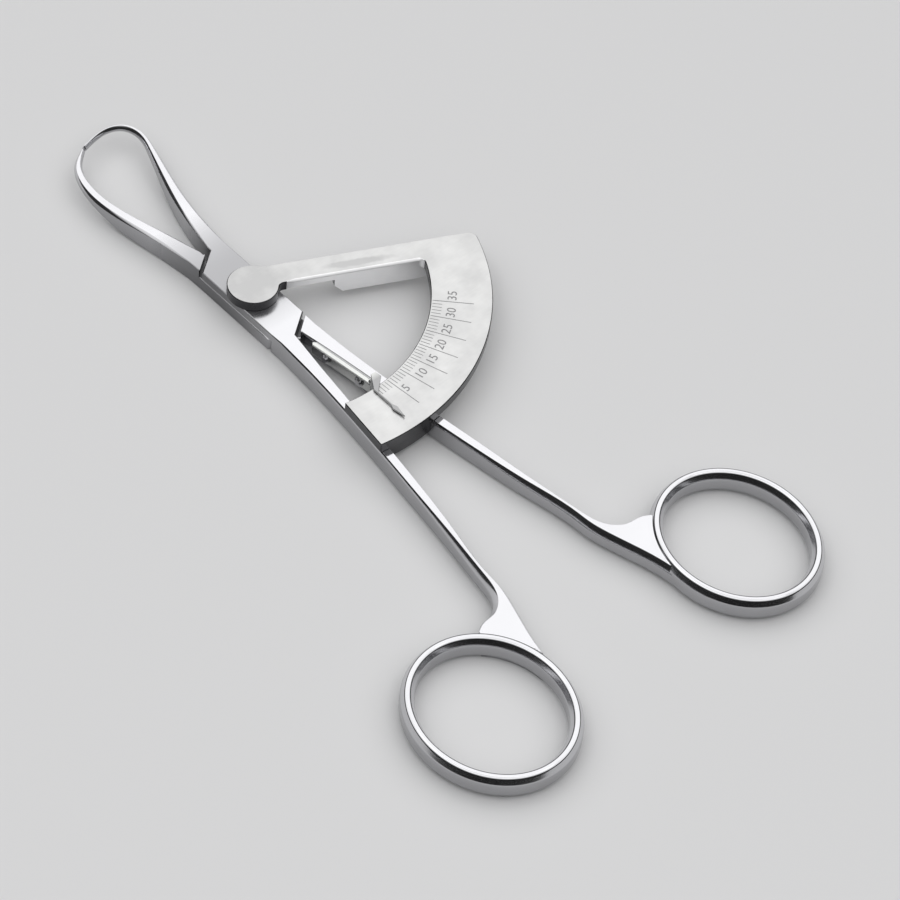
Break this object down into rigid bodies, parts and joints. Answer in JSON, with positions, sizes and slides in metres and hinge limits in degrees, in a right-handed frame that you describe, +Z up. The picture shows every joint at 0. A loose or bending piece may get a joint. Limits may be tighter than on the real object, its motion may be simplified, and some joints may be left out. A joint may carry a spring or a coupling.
{
  "type": "bone measuring gauge",
  "caption": "Finger-ring bone measuring gauge: crossing levers with curved caliper jaws, a sector scale and a pointer.",
  "frame": {"origin": "on the pivot axis, in the plane that the gauge lies on (the underside of the pivot screw's head)", "axes": "+X along the gauge towards the jaw tips, +Y towards the upper lever's finger ring, +Z up along the pivot axis"},
  "size_m": [0.1534, 0.0828, 0.007],
  "materials": {
    "lever_steel": "polished stainless steel",
    "scale_steel": "satin stainless steel with engraved graduations",
    "pointer_steel": "satin stainless steel",
    "screw_steel": "turned stainless steel"
  },
  "bodies": {
    "upper_half": {"upper_lever": "lever_steel", "scale_sector": "scale_steel", "pivot_screw": "screw_steel", "pivot_washer": "screw_steel", "scale_screws": "screw_steel"},
    "lower_half": {"lower_lever": "lever_steel", "pointer": "pointer_steel", "pointer_rivets": "screw_steel"}
  },
  "joints": [
    {"name": "jaw_opening", "type": "hinge", "parent": "upper_half", "child": "lower_half", "pos_m": [0, 0, 0.0022], "axis": [0, 0, 1], "range_deg": [0, 45]}
  ]
}
